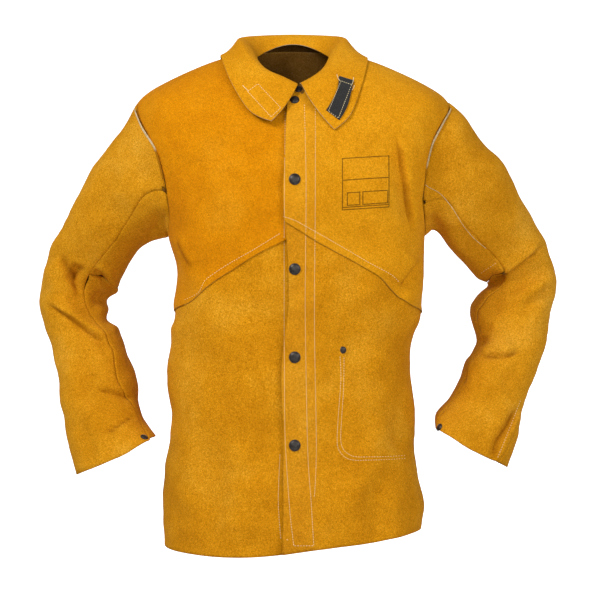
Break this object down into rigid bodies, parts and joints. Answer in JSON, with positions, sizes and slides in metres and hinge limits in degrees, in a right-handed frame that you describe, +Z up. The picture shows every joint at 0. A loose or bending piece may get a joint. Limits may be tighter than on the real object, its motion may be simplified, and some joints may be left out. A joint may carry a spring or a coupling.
{
  "type": "leather welding jacket",
  "caption": "Long-sleeved split-leather welding jacket with turned-down collar, lapped yoke and snap front, in its worn form with bent arms.",
  "frame": {"origin": "neck point: on the jacket's middle plane, level with the top of the shoulder seams, where the jacket hangs on its wearer", "axes": "+Z up, -Y out of the front, +X towards the wearer's left"},
  "size_m": [0.8006, 0.31, 0.7797],
  "materials": {
    "leather": "golden suede split leather",
    "cut_edge": "raw pale cut edge",
    "snap_metal": "dark burnished metal",
    "hook_cloth": "black hook-and-loop tape"
  },
  "bodies": {
    "root": {"back_panel": "leather", "back_yoke": "leather", "collar": "leather", "collar_hook_patch": "hook_cloth", "collar_loop_patch": "hook_cloth", "front_snap_1": "snap_metal", "front_snap_2": "snap_metal", "front_snap_3": "snap_metal", "front_snap_4": "snap_metal", "inner_pocket": "leather", "left_armhole_welt": "cut_edge", "left_cuff_snap": "snap_metal", "left_front_facing": "leather", "left_front_panel": "leather", "left_front_yoke": "leather", "left_sleeve_top": "leather", "left_sleeve_under_lower": "leather", "left_sleeve_under_upper": "leather", "neck_snap": "snap_metal", "neck_tab": "leather", "pocket_rivet": "snap_metal", "right_armhole_welt": "cut_edge", "right_cuff_snap": "snap_metal", "right_front_facing": "leather", "right_front_panel": "leather", "right_front_yoke": "leather", "right_sleeve_top": "leather", "right_sleeve_under_lower": "leather", "right_sleeve_under_upper": "leather", "top_snap": "snap_metal"}
  },
  "joints": []
}
